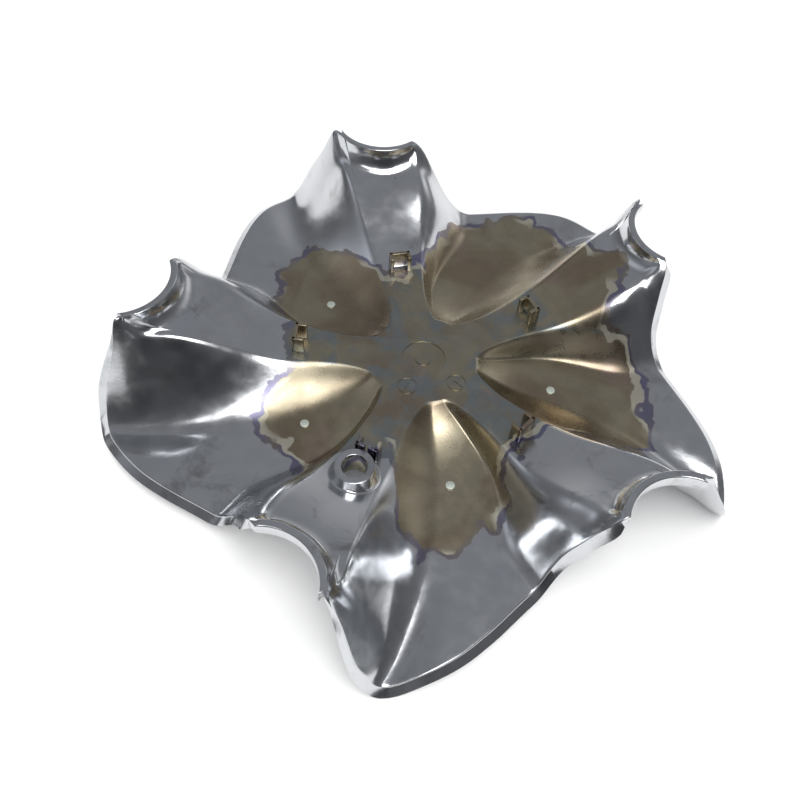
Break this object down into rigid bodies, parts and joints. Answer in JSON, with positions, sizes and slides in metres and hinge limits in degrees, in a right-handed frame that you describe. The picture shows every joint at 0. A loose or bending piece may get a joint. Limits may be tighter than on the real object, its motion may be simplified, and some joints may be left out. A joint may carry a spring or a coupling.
{
  "type": "wheel center cap",
  "caption": "Chrome-plated wheel center cap shaped like a swirling star, seen from its hollow back, with a screw boss and short locating ribs.",
  "frame": {"origin": "on the wheel axis, on the flat star in the middle of the back", "axes": "+Z along the wheel axis out of the back of the cap, towards the hub; the screw boss stands on the arm that runs along -Y"},
  "size_m": [0.1995, 0.2068, 0.0374],
  "materials": {
    "chrome_plate": "bright chrome plating, thinner and bronze-tinted in the middle of the back"
  },
  "bodies": {
    "root": {"cap": "chrome_plate"}
  },
  "joints": []
}
